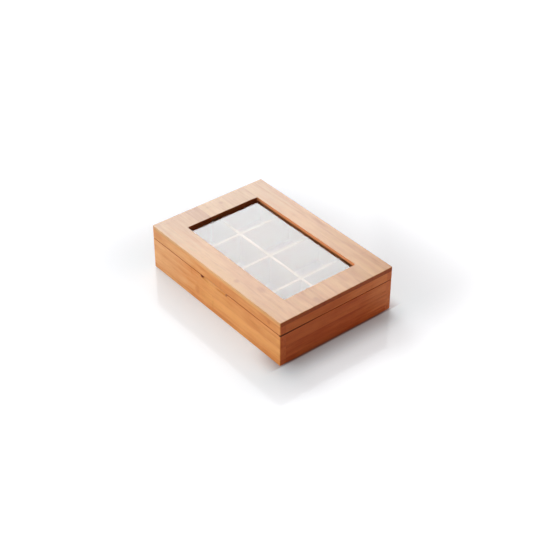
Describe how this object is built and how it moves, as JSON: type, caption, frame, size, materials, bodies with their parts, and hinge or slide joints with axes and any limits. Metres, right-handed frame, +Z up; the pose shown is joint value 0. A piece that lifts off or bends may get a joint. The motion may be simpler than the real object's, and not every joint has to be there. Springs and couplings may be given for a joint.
{
  "type": "tea bag organizer box",
  "caption": "Flat rectangular bamboo tea box with a hinged lid framing a clear window over a grid of square-sided compartments, with a finger notch in the front rim.",
  "frame": {"origin": "middle of the underside, on the surface it stands on", "axes": "+X along the front to the right, +Y to the hinged back, +Z up; the front with the finger notch faces -Y"},
  "size_m": [0.3, 0.2072, 0.075],
  "materials": {
    "bamboo_walls": "laminated bamboo, clear satin lacquer",
    "bamboo_rails": "laminated bamboo, clear satin lacquer",
    "bamboo_top": "laminated bamboo, clear satin lacquer",
    "bamboo_bottom": "bamboo board, clear matt lacquer",
    "bamboo_dividers": "thin bamboo boards, clear matt lacquer",
    "clear_pane": "clear, glossy",
    "hinge_brass": "pressed brass, lightly brushed",
    "hinge_pins": "drawn brass",
    "hinge_screws": "brass-plated steel"
  },
  "bodies": {
    "base": {"base_front_panel": "bamboo_walls", "base_back_panel": "bamboo_walls", "base_left_panel": "bamboo_walls", "base_right_panel": "bamboo_walls", "base_bottom_panel": "bamboo_bottom", "long_divider": "bamboo_dividers", "cross_divider_left": "bamboo_dividers", "cross_divider_middle": "bamboo_dividers", "cross_divider_right": "bamboo_dividers", "left_hinge_base_leaf": "hinge_brass", "left_hinge_pin": "hinge_pins", "right_hinge_base_leaf": "hinge_brass", "right_hinge_pin": "hinge_pins", "base_hinge_screws": "hinge_screws"},
    "lid": {"lid_front_rail": "bamboo_rails", "lid_back_rail": "bamboo_rails", "lid_left_rail": "bamboo_rails", "lid_right_rail": "bamboo_rails", "lid_top_panel": "bamboo_top", "window_pane": "clear_pane", "left_hinge_lid_leaf": "hinge_brass", "right_hinge_lid_leaf": "hinge_brass", "lid_hinge_screws": "hinge_screws"}
  },
  "joints": [
    {"name": "lid_hinge", "type": "hinge", "parent": "base", "child": "lid", "pos_m": [0, 0.1022, 0.053], "axis": [-1, 0, 0], "range_deg": [0, 98]}
  ]
}
